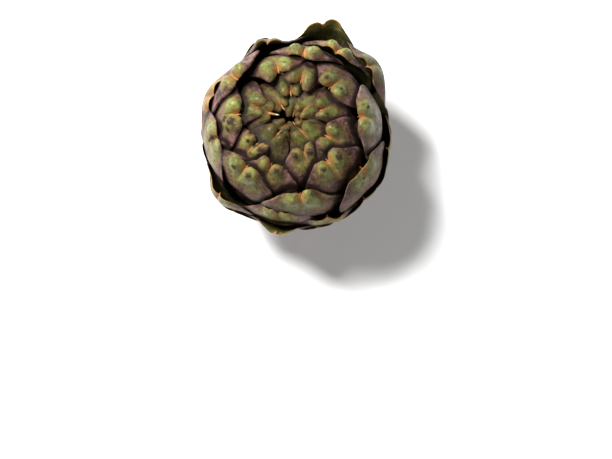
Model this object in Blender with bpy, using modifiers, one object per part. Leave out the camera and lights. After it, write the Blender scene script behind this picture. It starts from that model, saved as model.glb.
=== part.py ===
"""A globe artichoke, standing on its cut stem: a fleshy receptacle with the stub of its stem, and the
bracts that grow round it in one spiral, each a separate overlapping scale. Metres, +Z up, and the
origin is the middle of the cut face.

The bracts lie on one family of nested surfaces, numbered from the middle of the head outwards. Each bract
starts on the surface of its own number and winds a little inwards from one margin to the other, so it lies
wholly outside the younger bracts that it covers and wholly inside the older ones that cover it.
"""

import math

import bmesh
import bpy
import numpy as np

MM = 0.001

# The head, in millimetres.
HEAD_CENTRE_Z = 48.0  # height of the middle of the head, where every surface is widest
INNER_EQUATOR = 31.0  # radius of surface 0 at its widest, and how much wider the next ones are
EQUATOR_STEP = 0.80
OUTER_EQUATOR_STEP = 0.215
INNER_RISE = 37.0  # height of surface 0 above the middle of the head, and how much higher the next ones are
RISE_STEP = 0.38
SQUARENESS = 3.2  # power of the curve over the top, where 2 is an ellipse
BELLY = 1.95  # power of the curve below
CROWN_LEAN = -1.9  # how far the crown leans along X
WINDING = 0.024  # how many surfaces inwards a bract winds for each degree round the stem
WINDING_FROM = 8  # bracts at which the winding begins, and is full
WINDING_FULL = 16

# The receptacle and the stem, in millimetres.
RIM_ROOT = (23.8, 32.0)  # (radius, height) where the youngest bract grows, and where the oldest does
FOOT_ROOT = (17.4, 13.5)
STEM_RADIUS = 13.5
STEM_CUT_CHAMFER = 0.8
ROUND_STEPS = 24

# The spiral. Bract 0 is the youngest one that shows whole, and three younger ones fill the middle.
FIRST_BRACT = -3
LAST_INNER = 7
LAST_FULL = 21  # up to here each surface is much wider than the last
LAST_CROWN = 24  # older bracts have their tips on the side of the head
LAST_SHOULDER = 31
LAST_OUTER = 40
LAST_BRACT = 55
GOLDEN_ANGLE = 137.508
BRACT_0_BEARING = 352.0

# Where the tips stand: millimetres from the axis on the crown, then degrees further down for each bract.
FIRST_TIP_RADIUS = 5.1
TIP_RADIUS_STEP = 1.52
LEAST_TIP_RADIUS = 1.5
SHOULDER_STEP = 2.6
SIDE_STEP = 2.1

# Bracts that grew out of their regular place: degrees turned round the stem, and degrees that the tip is lower
# down, or higher up where it is negative.
TURNED = {
    0: 6, 1: -4, 3: -8, 4: -18, 5: -14, 6: -6, 7: -6, 8: 3, 9: 10, 10: 1, 11: 10, 12: 14, 13: -9,
    14: -13, 15: -9, 16: 6, 17: 5, 18: 1, 19: -5, 20: 4, 21: 1, 22: 5, 24: 6, 26: -4, 27: 1,
    28: 15, 29: 18, 31: -7, 32: 2, 33: 11, 35: -13, 36: -4, 38: 6,
}
LOWERED = {
    0: -3.5, 1: 2.0, 3: -6.5, 5: -7.5, 6: -0.5, 7: -8.0, 8: -3.0, 9: -1.0, 10: -3.5, 11: -2.0,
    12: -2.0, 13: -6.0, 14: 0.5, 15: -1.0, 16: -4.5, 17: -4.0, 18: -3.5, 19: 4.0, 20: -0.5,
    21: -1.0, 22: -2.5, 23: 1.5, 24: 6.0, 25: 0.5, 26: -1.5, 27: 3.0, 28: 6.0, 29: 1.5, 30: -3.0,
    31: 9.0, 32: 1.5, 33: -1.0, 35: -3.5, 40: 12.0,
}

# Where the older bracts part from the head, all round and at some bearings: (bearing, spread, millimetres).
SPREAD_ALL_ROUND = 1.1
SPREADING = [
    (70.0, 14.0, 12.5), (40.0, 20.0, 10.0), (110.0, 10.0, 4.5), (221.0, 14.0, 8.0), (262.0, 18.0, 3.0),
    (298.0, 15.0, 6.0), (328.0, 13.0, 5.5), (352.0, 14.0, 2.5),
]
SPREAD_FROM = 108.0  # degrees from straight up where they begin to part, and where they have parted
SPREAD_FULL = 74.0
SPREAD_YOUNGEST = 20
SPREAD_OLDEST = 31

# One bract: half its width and the length of its blunt end, in millimetres.
ROOT_HALF_WIDTH = 8.0
NARROWEST = 10.0
WIDTH_STEP = 0.62
LAST_WIDENING = 23
BASE_WIDTH_STEP = 0.40
BLUNT_END = 19.0
LONG_END = 23.0
WIDE_FROM_SHARE = 0.55  # share of the length, from the root, over which it widens
LEAST_CURL = 0.45  # least radius that a bract curls to across, as a share of its surface's widest radius

# Its flesh, in millimetres.
THICKEST = 2.2
THINNEST = 0.36
CLEARANCE = 0.6
FILLED = 0.85  # share of the room between two surfaces that flesh may fill, before the clearance
MIDDLE_PLACES = 5.2  # how many surfaces further in the next flesh lies, under the middle of a bract
TIP_THINNING = 0.45
LOBE = 0.9  # how far the two lobes beside the tip's notch bulge
LOBE_AT = 0.4  # their place, as a share of the half width
LOBE_SPREAD = 0.25
LOBE_LENGTH = 7.0
NOTCH_DEPTH = 1.3
NOTCH_SPREAD = 0.16
SPINE_LENGTH = 2.0
TIP_ROUNDING = 1.6
TIP_FADE = 4.0  # distance from the tip over which the notch and the rounding fade


def smooth(t):
    """A smooth step from 0 to 1 as t goes from 0 to 1."""
    t = np.clip(t, 0.0, 1.0)
    return t * t * (3.0 - 2.0 * t)


def bearing(n):
    """Where bract n stands round the stem, in radians from +X."""
    return math.radians(BRACT_0_BEARING + GOLDEN_ANGLE * n + TURNED.get(n, 0))


def equator(n):
    """Radius of surface n at its widest."""
    outer = np.maximum(n - LAST_FULL, 0.0)
    return INNER_EQUATOR + EQUATOR_STEP * np.minimum(n, LAST_FULL) + OUTER_EQUATOR_STEP * outer


def rise(n):
    """Height of surface n above the middle of the head."""
    return INNER_RISE + RISE_STEP * n


def root(n):
    """(radius, depth below the middle of the head) of the place where bract n grows from the receptacle."""
    share = (n - FIRST_BRACT) / (LAST_BRACT - FIRST_BRACT)
    radius = RIM_ROOT[0] + (FOOT_ROOT[0] - RIM_ROOT[0]) * share
    height = RIM_ROOT[1] + (FOOT_ROOT[1] - RIM_ROOT[1]) * share
    return radius, HEAD_CENTRE_Z - height


def tip_angle(n):
    """Angle of bract n's tip from straight up, seen from the middle of the head, in radians. On the crown the
    tips step outwards evenly, and further down they step down the side."""
    on_crown = min(n, LAST_CROWN)
    radius = math.hypot(FIRST_TIP_RADIUS + TIP_RADIUS_STEP * on_crown, LEAST_TIP_RADIUS)
    left = 1.0 - (radius / equator(on_crown)) ** SQUARENESS
    height = rise(on_crown) * left ** (1.0 / SQUARENESS)
    on_shoulder = min(max(n - LAST_CROWN, 0), LAST_SHOULDER - LAST_CROWN)
    on_side = max(n - LAST_SHOULDER, 0)
    down = SHOULDER_STEP * on_shoulder + SIDE_STEP * on_side + LOWERED.get(n, 0.0)
    return math.atan2(radius, height) + math.radians(down)


def opening(n, direction):
    """How far surface n stands out beyond its regular shape, where the older bracts part from the head."""
    round_stem = np.degrees(np.arctan2(direction[..., 1], direction[..., 0]))
    from_up = np.degrees(np.arccos(np.clip(direction[..., 2], -1.0, 1.0)))
    out = np.full(round_stem.shape, SPREAD_ALL_ROUND)
    for middle, spread, most in SPREADING:
        aside = (round_stem - middle + 180.0) % 360.0 - 180.0
        out += most * np.exp(-((aside / spread) ** 2))
    age = smooth((n - SPREAD_YOUNGEST) / (SPREAD_OLDEST - SPREAD_YOUNGEST))
    return out * smooth((SPREAD_FROM - from_up) / (SPREAD_FROM - SPREAD_FULL)) * age


def surface(n, direction):
    """Distance from the middle of the head to surface n along unit vectors: a superellipse over the top, and
    below another through the root of bract n."""
    root_radius, root_depth = root(n)
    drop = root_depth / (1.0 - (root_radius / equator(n)) ** BELLY) ** (1.0 / BELLY)
    out = np.hypot(direction[..., 0], direction[..., 1]) / equator(n)
    up = np.maximum(direction[..., 2], 0.0) / rise(n)
    down = np.maximum(-direction[..., 2], 0.0) / drop
    above = (out**SQUARENESS + up**SQUARENESS) ** (-1.0 / SQUARENESS)
    below = (out**BELLY + down**BELLY) ** (-1.0 / BELLY)
    return np.where(direction[..., 2] >= 0.0, above, below) + opening(n, direction)


def half_width(n, from_tip, share):
    """Half the width of bract n at a distance from its tip, with the share of its length from the root: a
    blunt elliptical end, and a narrower root."""
    widening = WIDTH_STEP * min(n, LAST_WIDENING)
    widest = NARROWEST + widening - BASE_WIDTH_STEP * max(n - LAST_OUTER, 0)
    blunt = BLUNT_END if n <= LAST_SHOULDER else LONG_END
    end = np.clip((from_tip + 1.0) / blunt, 0.0, 1.0)
    narrow = ROOT_HALF_WIDTH / widest
    taper = narrow + (1.0 - narrow) * smooth(share / WIDE_FROM_SHARE)
    return widest * np.sqrt(1.0 - (1.0 - end) ** 2) * np.minimum(taper, 1.0)


def direction_at(n, angle, sideways):
    """Unit vectors from the middle of the head to points of bract n, at an angle from straight up on its
    middle line and a distance to the side of that. The bract curls round the head's axis, but near the top,
    where the head is narrow, it keeps the curl of a wider circle."""
    turn = bearing(n)
    outward = np.array([math.cos(turn), math.sin(turn), 0.0])
    leftward = np.array([-math.sin(turn), math.cos(turn), 0.0])
    middle = np.sin(angle)[..., None] * outward + np.cos(angle)[..., None] * np.array([0.0, 0.0, 1.0])
    middle = middle * surface(n, middle)[..., None]
    from_axis = middle @ outward
    curl = np.maximum(from_axis, 0.5 * (from_axis + LEAST_CURL * equator(n)))
    swing = sideways / curl
    inward = curl * (1.0 - np.cos(swing))
    point = middle + (curl * np.sin(swing))[..., None] * leftward - inward[..., None] * outward
    return point / np.linalg.norm(point, axis=-1, keepdims=True)


def middle_line(n, steps=240):
    """(angles from straight up, distances from the root) along bract n's middle line, run on past its tip."""
    radius, depth = root(n)
    angles = np.linspace(math.atan2(radius, -depth), tip_angle(n) - math.radians(6.0), steps)
    turn = bearing(n)
    flat = np.sin(angles)
    line = np.stack([flat * math.cos(turn), flat * math.sin(turn), np.cos(angles)], axis=-1)
    points = line * surface(n, line)[:, None]
    gaps = np.linalg.norm(np.diff(points, axis=0), axis=1)
    return angles, np.concatenate([[0.0], np.cumsum(gaps)])


def shape_bract(n, across, along):
    """Points of bract n's outer side, in millimetres from the middle of the head, and the thickness of its
    flesh at each. Across runs from -1 to 1 between its margins, along from 0 at the root to 1 at the tip."""
    angles, lengths = middle_line(n)
    length = float(np.interp(-tip_angle(n), -angles, lengths))
    from_tip = length * (1.0 - along) ** 1.5
    sideways = across * half_width(n, from_tip, 1.0 - from_tip / length)
    aside = np.abs(across)
    in_middle = aside < 0.01

    notch = NOTCH_DEPTH * np.exp(-((aside / NOTCH_SPREAD) ** 2)) - (NOTCH_DEPTH + SPINE_LENGTH) * in_middle
    drawn_back = (TIP_ROUNDING * aside**3 + notch) * np.exp(-from_tip / TIP_FADE)
    angle = np.interp(length - from_tip - drawn_back, lengths, angles)
    direction = direction_at(n, angle, sideways)
    near_tip = np.exp(-((from_tip / LOBE_LENGTH) ** 2))
    bulge = LOBE * near_tip * np.exp(-(((aside - LOBE_AT) / LOBE_SPREAD) ** 2))

    wound = smooth((n - WINDING_FROM) / (WINDING_FULL - WINDING_FROM))
    round_stem = np.degrees(np.arctan2(direction[:, 1], direction[:, 0]) - bearing(n))
    level = n - WINDING * wound * ((round_stem + 180.0) % 360.0 - 180.0)
    margin_places = 3.0 + wound
    places = MIDDLE_PLACES + (margin_places - MIDDLE_PLACES) * smooth((aside - 0.05) / 0.35)
    room = surface(level, direction) - surface(level - places, direction)
    flesh = np.clip(FILLED * room - CLEARANCE, THINNEST, THICKEST) * (1.0 - TIP_THINNING * along**8)
    flesh = np.where(in_middle & (along > 0.99), THINNEST, flesh + bulge)
    return direction * (surface(level, direction) + bulge)[..., None], flesh


def bract_kind(n):
    """Which part of the head bract n belongs to."""
    for kind, last in (("inner", LAST_INNER), ("crown", LAST_CROWN), ("outer", LAST_OUTER)):
        if n <= last:
            return kind
    return "base"


def make_bract(n, material, home):
    """One scale: a grid laid on the bract's surface, with Solidify giving it its flesh on the inner side."""
    columns = 8 if LAST_INNER < n <= LAST_OUTER else 6
    rows = 9 if n <= LAST_OUTER else 7
    sheet = bmesh.new()
    bmesh.ops.create_grid(sheet, x_segments=columns, y_segments=rows, size=1.0)
    flat = np.array([vertex.co[:] for vertex in sheet.verts])
    across = np.sign(flat[:, 0]) * np.abs(flat[:, 0]) ** 1.25
    points, flesh = shape_bract(n, across, 0.5 + 0.5 * flat[:, 1])
    points[:, 0] += CROWN_LEAN * np.maximum(points[:, 2] / INNER_RISE, 0.0) ** 2
    places = (points + [0.0, 0.0, HEAD_CENTRE_Z]) * MM
    for vertex, place in zip(sheet.verts, places):
        vertex.co = place

    name = f"{bract_kind(n)}_bract_{n - FIRST_BRACT + 1:02d}"
    mesh = bpy.data.meshes.new(name)
    sheet.to_mesh(mesh)
    sheet.free()
    mesh.shade_smooth()
    mesh.materials.append(material)
    bract = bpy.data.objects.new(name, mesh)
    home.objects.link(bract)

    group = bract.vertex_groups.new(name="flesh")
    most = float(flesh.max())
    for index, thickness in enumerate(flesh):
        group.add([index], float(thickness) / most, "REPLACE")
    shell = bract.modifiers.new("flesh", "SOLIDIFY")
    shell.thickness = most * MM
    shell.offset = -1.0
    shell.vertex_group = group.name


def make_receptacle(material, home):
    """The fleshy base of the flower head and the stub of its stem, turned from one profile with a Screw
    modifier. The profile stays clear of the roots of the bracts."""
    rim_radius, rim_z = RIM_ROOT[0] - 1.8, RIM_ROOT[1] - 2.5
    foot_radius, foot_z = FOOT_ROOT[0] - 1.4, FOOT_ROOT[1] + 0.9
    profile = [
        (0.0, rim_z - 2.0), (9.0, rim_z - 1.2), (16.0, rim_z + 0.9), (19.5, rim_z + 1.4),
        (rim_radius - 0.6, rim_z + 1.0), (rim_radius, rim_z),
        (foot_radius, foot_z), (STEM_RADIUS + 0.6, foot_z - 2.0), (STEM_RADIUS, foot_z - 4.5),
        (STEM_RADIUS, STEM_CUT_CHAMFER), (STEM_RADIUS - STEM_CUT_CHAMFER, 0.0), (0.0, 0.0),
    ]
    outline = bpy.data.meshes.new("receptacle_and_stem")
    edges = [(i, i + 1) for i in range(len(profile) - 1)]
    outline.from_pydata([(r * MM, 0.0, z * MM) for r, z in profile], edges, [])
    outline.materials.append(material)
    body = bpy.data.objects.new("receptacle_and_stem", outline)
    home.objects.link(body)
    turn = body.modifiers.new("turn", "SCREW")
    turn.steps = turn.render_steps = ROUND_STEPS
    turn.use_merge_vertices = True
    turn.merge_threshold = 0.00001
    turn.use_smooth_shade = True


def make_material(name, colour, roughness):
    """A plain skin of one colour."""
    material = bpy.data.materials.new(name)
    material.use_nodes = True
    shader = material.node_tree.nodes["Principled BSDF"]
    shader.inputs["Base Color"].default_value = (*colour, 1.0)
    shader.inputs["Roughness"].default_value = roughness
    shader.inputs["Metallic"].default_value = 0.0
    return material


def main():
    for old in list(bpy.data.objects):
        bpy.data.objects.remove(old)
    home = bpy.data.collections.new("artichoke")
    bpy.context.scene.collection.children.link(home)
    skins = {
        "inner": make_material("inner_bract", (0.16, 0.17, 0.06), 0.5),
        "crown": make_material("crown_bract", (0.15, 0.15, 0.06), 0.5),
        "outer": make_material("outer_bract", (0.13, 0.10, 0.07), 0.5),
        "base": make_material("base_bract", (0.09, 0.05, 0.05), 0.5),
    }
    make_receptacle(make_material("receptacle_and_stem", (0.35, 0.38, 0.18), 0.6), home)
    for n in range(FIRST_BRACT, LAST_BRACT + 1):
        make_bract(n, skins[bract_kind(n)], home)


main()
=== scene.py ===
"""A globe artichoke standing on its cut stem: the finished look of every bract, of the receptacle and of the
stem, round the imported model."""

import math

import bpy
import numpy as np
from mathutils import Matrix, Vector


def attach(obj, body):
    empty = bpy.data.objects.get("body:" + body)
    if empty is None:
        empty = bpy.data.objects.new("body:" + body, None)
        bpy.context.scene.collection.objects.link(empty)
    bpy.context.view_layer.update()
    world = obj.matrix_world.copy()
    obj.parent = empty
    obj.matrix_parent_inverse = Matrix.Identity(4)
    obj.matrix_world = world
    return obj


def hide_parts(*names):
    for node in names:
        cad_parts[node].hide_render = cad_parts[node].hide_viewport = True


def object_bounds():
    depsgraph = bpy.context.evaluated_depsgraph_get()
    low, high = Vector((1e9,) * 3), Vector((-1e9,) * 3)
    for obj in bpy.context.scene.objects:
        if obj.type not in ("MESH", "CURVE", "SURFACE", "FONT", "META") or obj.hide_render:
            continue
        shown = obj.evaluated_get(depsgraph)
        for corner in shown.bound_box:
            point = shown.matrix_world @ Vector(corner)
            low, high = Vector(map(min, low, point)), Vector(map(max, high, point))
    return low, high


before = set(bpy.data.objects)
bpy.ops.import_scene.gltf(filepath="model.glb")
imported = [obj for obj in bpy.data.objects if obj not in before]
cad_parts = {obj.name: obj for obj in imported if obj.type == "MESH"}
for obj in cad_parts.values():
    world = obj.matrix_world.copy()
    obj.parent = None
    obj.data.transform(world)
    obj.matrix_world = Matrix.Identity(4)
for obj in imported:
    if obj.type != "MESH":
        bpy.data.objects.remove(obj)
cad_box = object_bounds()


# ---------------------------------------------------------------------------------------------------------
# The receptacle and the stem. The receptacle is the pale fleshy base that carries every bract, and the stem
# under it is ribbed, downy and grey-green. A knife cut it square, so its end shows the pith in a ring of
# woody threads that has begun to brown.

MM = 0.001
STEM_RADIUS = 13.5
STEM_CUT_CHAMFER = 0.8
RIM_ROOT = (23.8, 32.0)  # (radius, height) where the youngest bract grows, and where the oldest does
FOOT_ROOT = (17.4, 13.5)
STEM_RIBS = 14
STEM_RIB_DEPTH = 0.35
ROUND_STEPS = 168
PROFILE_STEPS = 90

RING_INSIDE = (0.0085, 0.0100)  # radii in metres, from where the woody ring begins to where it is full
RING_OUTSIDE = (0.0128, 0.0112)  # and from where it ends
STEM_DARK = (0.20, 0.23, 0.09)
STEM_PALE = (0.36, 0.37, 0.20)
STEM_DOWN = (0.45, 0.46, 0.32)
STEM_FLECK = (0.16, 0.10, 0.05)
PITH_DARK = (0.55, 0.52, 0.33)
PITH_PALE = (0.68, 0.66, 0.48)
WOODY_THREADS = (0.22, 0.13, 0.06)
BROWNED_PITH = (0.40, 0.27, 0.13)


def smooth(t):
    """A smooth step from 0 to 1 as t goes from 0 to 1."""
    t = np.clip(t, 0.0, 1.0)
    return t * t * (3.0 - 2.0 * t)


def closed_rows(first, rows, columns):
    """Quads between rows of a closed grid, whose last column joins its first: each row has its own points,
    counted from a first index."""
    row, column = np.meshgrid(np.arange(rows - 1), np.arange(columns), indexing="ij")
    here = first + row * columns + column
    beside = first + row * columns + (column + 1) % columns
    return np.stack([here, here + columns, beside + columns, beside], axis=-1).reshape(-1, 4)


def make_piece(name, points, faces, masks, lay, material, shade_and_tone=None):
    """A mesh object from points in millimetres. masks and tone are four shares each, between 0 and 1, at each
    point, where the material reads them, and lay is its place on the skin in centimetres, kept as a UV map."""
    mesh = bpy.data.meshes.new(name)
    mesh.from_pydata(np.asarray(points) * MM, [], faces)
    mesh.update()
    mesh.shade_smooth()
    for label, shares in (("skin", masks), ("shade_and_tone", shade_and_tone)):
        if shares is not None:
            painted = mesh.attributes.new(label, "FLOAT_COLOR", "POINT")
            painted.data.foreach_set("color", np.clip(shares, 0.0, 1.0).astype(np.float32).ravel())
    corners = np.empty(len(mesh.loops), np.int32)
    mesh.loops.foreach_get("vertex_index", corners)
    layer = mesh.uv_layers.new(name="lay")
    layer.data.foreach_set("uv", np.asarray(lay, np.float32)[corners].ravel())
    mesh.materials.append(material)
    piece = bpy.data.objects.new(name, mesh)
    bpy.context.scene.collection.objects.link(piece)
    return piece


def node_tools(tree):
    """Short ways to add nodes to a tree. add makes a node of a kind, calc a sum on two values, blend a mix of
    two colours by a share, grade a smooth step of a value from one range to another, scaled a stretched vector
    and noise a cloudy pattern. A value may be a number, a colour or another node's output."""

    def add(kind, inputs=None, **settings):
        node = tree.nodes.new(kind)
        for key, value in settings.items():
            setattr(node, key, value)
        for key, value in (inputs or {}).items():
            if isinstance(value, bpy.types.NodeSocket):
                tree.links.new(value, node.inputs[key])
            else:
                node.inputs[key].default_value = value
        return node

    def calc(operation, a, b=0.0, clamp=False):
        return add("ShaderNodeMath", {0: a, 1: b}, operation=operation, use_clamp=clamp).outputs[0]

    def blend(share, a, b, way="MIX"):
        node = add("ShaderNodeMix", data_type="RGBA", blend_type=way, clamp_factor=True)
        for socket, value in ((node.inputs[0], share), (node.inputs[6], a), (node.inputs[7], b)):
            if isinstance(value, bpy.types.NodeSocket):
                tree.links.new(value, socket)
            else:
                socket.default_value = value if isinstance(value, float) else (*value[:3], 1.0)
        return node.outputs[2]

    def grade(value, low, high, to_low=0.0, to_high=1.0):
        inputs = {0: value, 1: low, 2: high, 3: to_low, 4: to_high}
        return add("ShaderNodeMapRange", inputs, interpolation_type="SMOOTHSTEP").outputs[0]

    def scaled(vector, factors):
        return add("ShaderNodeVectorMath", {0: vector, 1: factors}, operation="MULTIPLY").outputs[0]

    def noise(vector, scale, detail=3.0, roughness=0.55):
        inputs = {"Vector": vector, "Scale": scale, "Detail": detail, "Roughness": roughness}
        return add("ShaderNodeTexNoise", inputs).outputs["Fac"]

    return add, calc, blend, grade, scaled, noise


def stem_material():
    """Grey-green ribbed skin with down and brown flecks, and on the cut face pale pith in a darker ring."""
    material = bpy.data.materials.new("stem_and_receptacle_skin")
    material.use_nodes = True
    tree = material.node_tree
    shader = tree.nodes["Principled BSDF"]
    add, calc, blend, grade, scaled, noise = node_tools(tree)
    place = add("ShaderNodeTexCoord").outputs["Object"]
    split = add("ShaderNodeSeparateXYZ", {0: place})
    across, deep = (calc("POWER", split.outputs[i], 2.0) for i in (0, 1))
    radius = calc("SQRT", calc("ADD", across, deep))
    mottle = noise(place, 180.0)
    threads = noise(scaled(place, (1.0, 1.0, 0.12)), 900.0, 4.0)
    skin = blend(mottle, STEM_DARK, STEM_PALE)
    skin = blend(grade(threads, 0.45, 0.75, 0.0, 0.6), skin, STEM_DOWN)
    skin = blend(grade(noise(place, 420.0), 0.62, 0.70), skin, STEM_FLECK)
    pith = blend(noise(place, 500.0), PITH_DARK, PITH_PALE)
    ring = calc("MULTIPLY", grade(radius, *RING_INSIDE), grade(radius, *RING_OUTSIDE))
    dots = grade(noise(scaled(place, (1.0, 1.0, 0.2)), 650.0, 1.0), 0.48, 0.62)
    pith = blend(calc("MULTIPLY", ring, dots), pith, WOODY_THREADS)
    pith = blend(grade(noise(place, 90.0), 0.45, 0.75, 0.0, 0.5), pith, BROWNED_PITH)
    on_cut = grade(split.outputs[2], 0.0006, 0.0001)
    tree.links.new(blend(on_cut, skin, pith), shader.inputs["Base Color"])
    rough = grade(mottle, 0.3, 0.7, 0.5, 0.72)
    tree.links.new(rough, shader.inputs["Roughness"])
    bump = add("ShaderNodeBump", {"Strength": 0.5, "Distance": 0.0004, "Height": threads})
    tree.links.new(bump.outputs[0], shader.inputs["Normal"])
    return material


def make_receptacle():
    """A profile carried round the axis: at each height the radius has a ripple of shallow ribs, which fade out
    towards the cut and over the receptacle."""
    rim_radius, rim_z = RIM_ROOT[0] - 1.8, RIM_ROOT[1] - 2.5
    foot_radius, foot_z = FOOT_ROOT[0] - 1.4, FOOT_ROOT[1] + 0.9
    cut = STEM_RADIUS - STEM_CUT_CHAMFER
    outline = np.array([  # (radius, height), from the middle of the rim to the middle of the cut
        (0.0, rim_z - 2.0), (9.0, rim_z - 1.2), (16.0, rim_z + 0.9), (19.5, rim_z + 1.4),
        (rim_radius - 0.6, rim_z + 1.0), (rim_radius, rim_z), (foot_radius, foot_z),
        (STEM_RADIUS + 0.6, foot_z - 2.0), (STEM_RADIUS, foot_z - 4.5), (STEM_RADIUS, STEM_CUT_CHAMFER),
        (STEM_RADIUS - 0.25, 0.25), (cut, 0.0), (0.0, 0.0),
    ])
    steps = np.concatenate([[0.0], np.cumsum(np.hypot(*np.diff(outline, axis=0).T))])
    even = np.union1d(steps, np.linspace(0.0, steps[-1], PROFILE_STEPS))[1:-1]
    radius, height = (np.interp(even, steps, outline[:, i]) for i in (0, 1))
    turn = np.linspace(0.0, 2.0 * math.pi, ROUND_STEPS, endpoint=False)
    ribbed = smooth((height - 0.4) / 2.0) * smooth((foot_z + 3.0 - height) / 5.0)
    ripple = np.cos(STEM_RIBS * turn) + 0.4 * np.cos(5 * turn + 1.0)
    round_radius = radius[:, None] + STEM_RIB_DEPTH * ribbed[:, None] * ripple[None, :]
    shape = (len(even), ROUND_STEPS)
    rings = np.stack([
        round_radius * np.cos(turn), round_radius * np.sin(turn), np.broadcast_to(height[:, None], shape)
    ], axis=-1).reshape(-1, 3)
    points = np.vstack([rings, [[0.0, 0.0, outline[0, 1]], [0.0, 0.0, 0.0]]])
    quads = closed_rows(0, len(even), ROUND_STEPS).tolist()
    here, beside = np.arange(ROUND_STEPS), (np.arange(ROUND_STEPS) + 1) % ROUND_STEPS
    top, bottom, last = len(rings), len(rings) + 1, len(rings) - ROUND_STEPS
    caps = np.stack([np.full(ROUND_STEPS, top), here, beside], axis=-1).tolist()
    caps += np.stack([np.full(ROUND_STEPS, bottom), last + beside, last + here], axis=-1).tolist()
    lay = points[:, [0, 2]] * 0.1
    piece = make_piece("receptacle_with_stem", points, quads + caps, None, lay, stem_material())
    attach(piece, "root")
    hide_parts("receptacle_and_stem")


make_receptacle()


# ---------------------------------------------------------------------------------------------------------
# The crown bracts. They are thick, waxy scales that close over the top of the head. Each ends in a notch with a
# short spine in it, between two plump green lobes, and turns purple-brown towards its margins.

# The nested surfaces that the bracts lie on, in millimetres, one for each bract.
HEAD_CENTRE_Z = 48.0
INNER_EQUATOR = 31.0
EQUATOR_STEP = 0.80
OUTER_EQUATOR_STEP = 0.215
INNER_RISE = 37.0
RISE_STEP = 0.38
SQUARENESS = 3.2
BELLY = 1.95
CROWN_LEAN = -1.9
WINDING = 0.024
WINDING_FROM = 8
WINDING_FULL = 16

# The bracts' numbers, from the youngest, and where each bract's tip stands, in degrees and millimetres.
FIRST_BRACT = -3
LAST_INNER = 7
LAST_FULL = 21
LAST_CROWN = 24
LAST_SHOULDER = 31
LAST_OUTER = 40
LAST_BRACT = 55
GOLDEN_ANGLE = 137.508
BRACT_0_BEARING = 352.0
FIRST_TIP_RADIUS = 5.1
TIP_RADIUS_STEP = 1.52
LEAST_TIP_RADIUS = 1.5
SHOULDER_STEP = 2.6
SIDE_STEP = 2.1
TURNED = {
    0: 6, 1: -4, 3: -8, 4: -18, 5: -14, 6: -6, 7: -6, 8: 3, 9: 10, 10: 1, 11: 10, 12: 14, 13: -9,
    14: -13, 15: -9, 16: 6, 17: 5, 18: 1, 19: -5, 20: 4, 21: 1, 22: 5, 24: 6, 26: -4, 27: 1,
    28: 15, 29: 18, 31: -7, 32: 2, 33: 11, 35: -13, 36: -4, 38: 6,
}
LOWERED = {
    0: -3.5, 1: 2.0, 3: -6.5, 5: -7.5, 6: -0.5, 7: -8.0, 8: -3.0, 9: -1.0, 10: -3.5, 11: -2.0,
    12: -2.0, 13: -6.0, 14: 0.5, 15: -1.0, 16: -4.5, 17: -4.0, 18: -3.5, 19: 4.0, 20: -0.5,
    21: -1.0, 22: -2.5, 23: 1.5, 24: 6.0, 25: 0.5, 26: -1.5, 27: 3.0, 28: 6.0, 29: 1.5, 30: -3.0,
    31: 9.0, 32: 1.5, 33: -1.0, 35: -3.5, 40: 12.0,
}

# Where the older bracts part from the head: (bearing, its spread, how far out), in degrees and millimetres.
SPREAD_ALL_ROUND = 1.1
SPREADING = [
    (70.0, 14.0, 12.5), (40.0, 20.0, 10.0), (110.0, 10.0, 4.5), (221.0, 14.0, 8.0), (262.0, 18.0, 3.0),
    (298.0, 15.0, 6.0), (328.0, 13.0, 5.5), (352.0, 14.0, 2.5),
]
SPREAD_FROM = 108.0
SPREAD_FULL = 74.0
SPREAD_YOUNGEST = 20
SPREAD_OLDEST = 31

# The bracts' widths and their flesh, in millimetres.
ROOT_HALF_WIDTH = 8.0
NARROWEST = 10.0
WIDTH_STEP = 0.62
LAST_WIDENING = 23
BASE_WIDTH_STEP = 0.40
BLUNT_END = 19.0
LONG_END = 23.0
WIDE_FROM_SHARE = 0.55  # share of the length, from the root, over which a bract widens
LEAST_CURL = 0.45  # least radius that it curls to across, as a share of its surface's widest radius
THICKEST = 2.2
THINNEST = 0.36
CLEARANCE = 0.6
FILLED = 0.85  # share of the room between two surfaces that flesh may fill, before the clearance
MIDDLE_PLACES = 5.2  # how many surfaces further in the next flesh lies, under the middle of a bract
MARGIN_PLACES = 3.0  # and under its margins, or one more where the surfaces wind
MIDDLE_SHARE = 0.05  # share of half the width that counts as the middle
MARGIN_FROM_SHARE = 0.35  # and over which the middle changes to the margins
SEEN_AT = 46.0  # the distance from the middle of the head at which edges and skin are compared


def bell(distance, spread):
    """A bell over a distance: the exponential of minus the square of its share of the spread."""
    return np.exp(-((distance / spread) ** 2))


def head_angles(direction):
    """(angle round the stem from +X, angle from straight up) of unit vectors, in degrees."""
    round_stem = np.degrees(np.arctan2(direction[..., 1], direction[..., 0]))
    return round_stem, np.degrees(np.arccos(np.clip(direction[..., 2], -1.0, 1.0)))


def short_way(turn):
    """A turn in degrees as the same turn the short way round, between -180 and 180."""
    return (turn + 180.0) % 360.0 - 180.0


def bearing(n):
    """Where bract n stands round the stem, in radians from +X: the golden angle on from the bract before it,
    and its own turn aside."""
    return math.radians(BRACT_0_BEARING + GOLDEN_ANGLE * n + TURNED.get(n, 0))


def equator(n):
    """Radius of surface n at its widest, which grows by an even step a bract, and by a smaller one outside."""
    outer = np.maximum(n - LAST_FULL, 0.0)
    return INNER_EQUATOR + EQUATOR_STEP * np.minimum(n, LAST_FULL) + OUTER_EQUATOR_STEP * outer


def rise(n):
    """Height of surface n above the middle of the head, which grows by an even step a bract."""
    return INNER_RISE + RISE_STEP * n


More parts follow.
